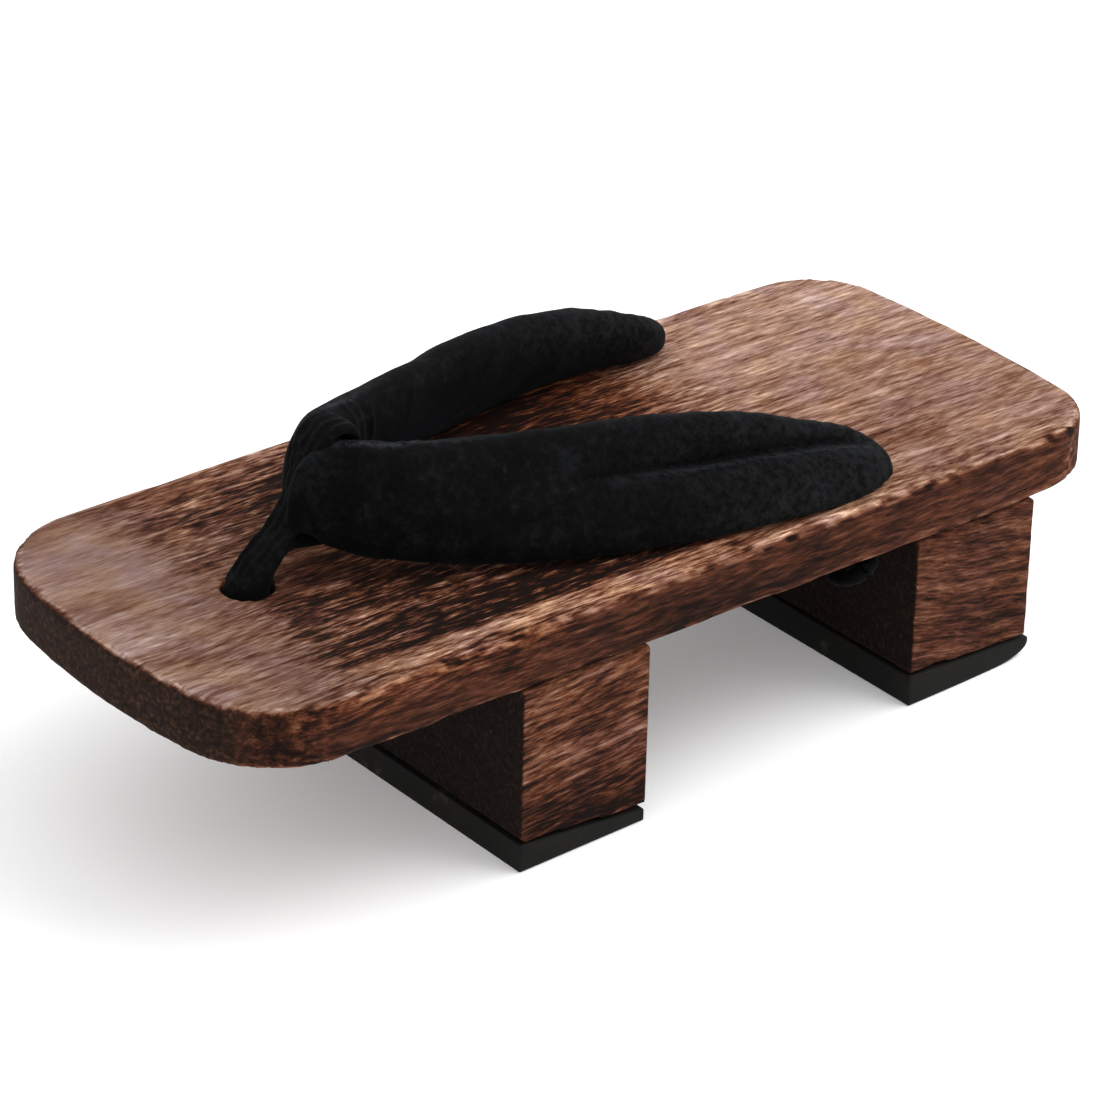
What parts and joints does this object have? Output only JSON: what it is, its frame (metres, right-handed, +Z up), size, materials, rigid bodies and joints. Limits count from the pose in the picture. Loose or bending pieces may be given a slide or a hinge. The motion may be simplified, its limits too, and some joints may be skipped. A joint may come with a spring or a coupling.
{
  "type": "geta sandal",
  "caption": "Wooden platform sandal on tall teeth with rubber pads, padded V strap and front thong tied by cords under the board",
  "frame": {"origin": "middle of the footprint on the floor, under the pads", "axes": "+Y to the heel, -Y to the toe, +X across the board, +Z up"},
  "size_m": [0.105, 0.2512, 0.0935],
  "materials": {
    "wood": "scorched and wire-brushed along the grain",
    "rubber": "matte black",
    "cloth": "matte black velvet",
    "cord": "matte black twisted cotton"
  },
  "bodies": {
    "root": {"board": "wood", "tooth_front": "wood", "tooth_rear": "wood", "pad_front": "rubber", "pad_rear": "rubber", "strap": "cloth", "thong": "cloth", "cord_front": "cord", "cord_left": "cord", "cord_right": "cord"}
  },
  "joints": []
}
